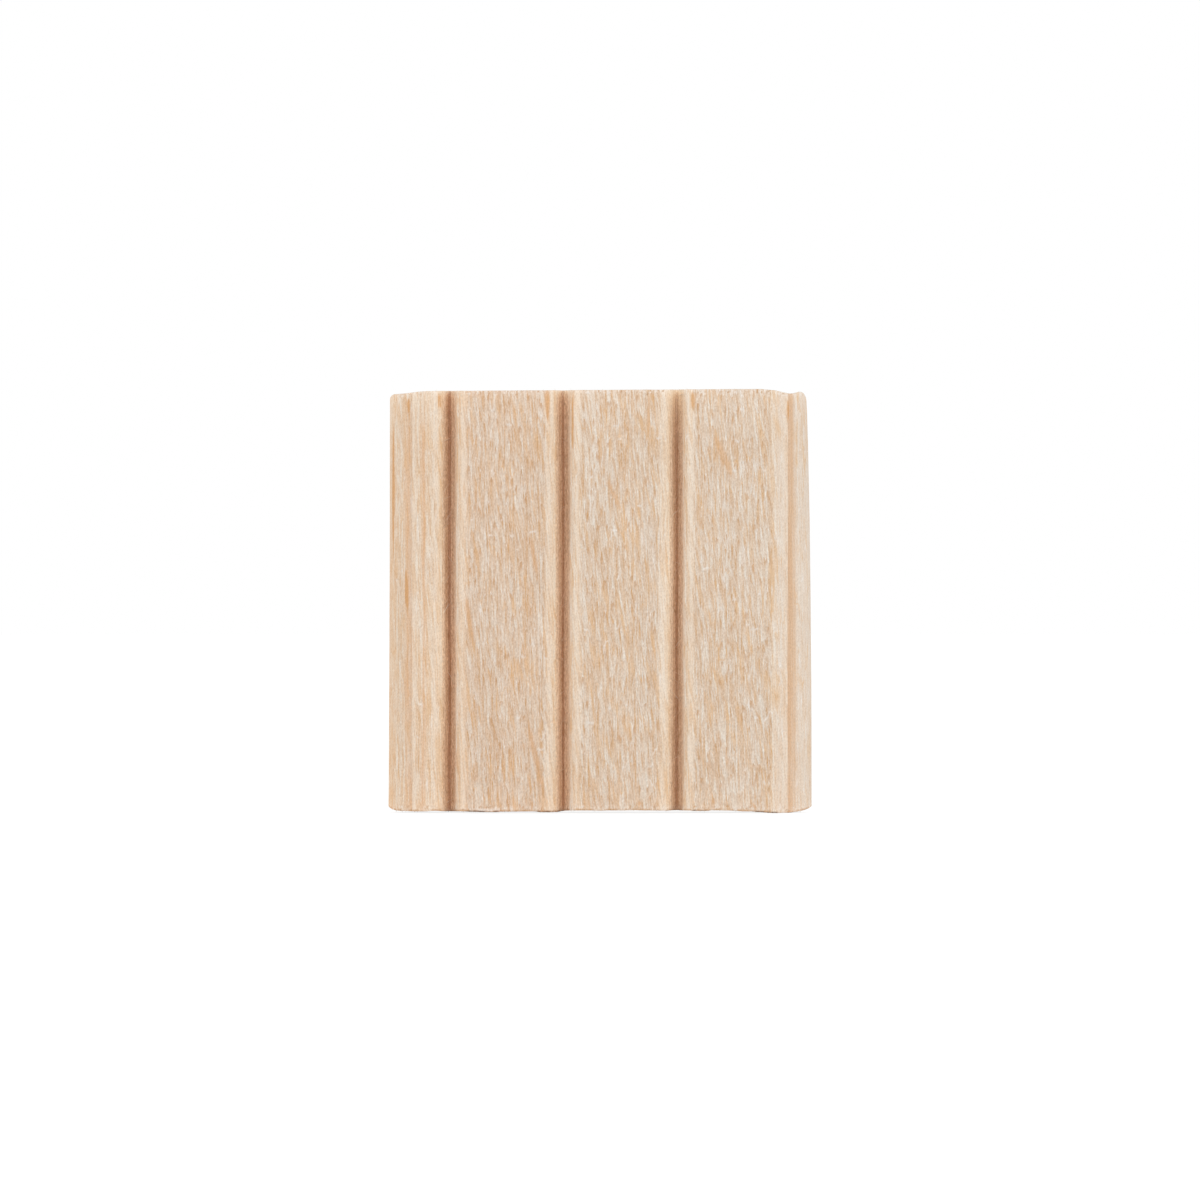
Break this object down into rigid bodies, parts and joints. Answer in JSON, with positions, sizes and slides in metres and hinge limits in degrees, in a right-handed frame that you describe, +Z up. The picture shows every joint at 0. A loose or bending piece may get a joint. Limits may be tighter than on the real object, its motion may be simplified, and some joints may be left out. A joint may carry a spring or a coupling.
{
  "type": "loose tenon",
  "caption": "Square-cut hardwood loose tenon with glue flutes along both cheeks and bullnosed long edges, for joining two mortised pieces.",
  "frame": {"origin": "middle of the bottom sawn end, which the tenon stands on", "axes": "+X across the width, +Y through the thickness from the front cheek to the back cheek, +Z up along the grain"},
  "size_m": [0.038, 0.0096, 0.0381],
  "materials": {
    "tenon": "bare sawn and moulded, unfinished"
  },
  "bodies": {
    "root": {"tenon": "tenon"}
  },
  "joints": []
}
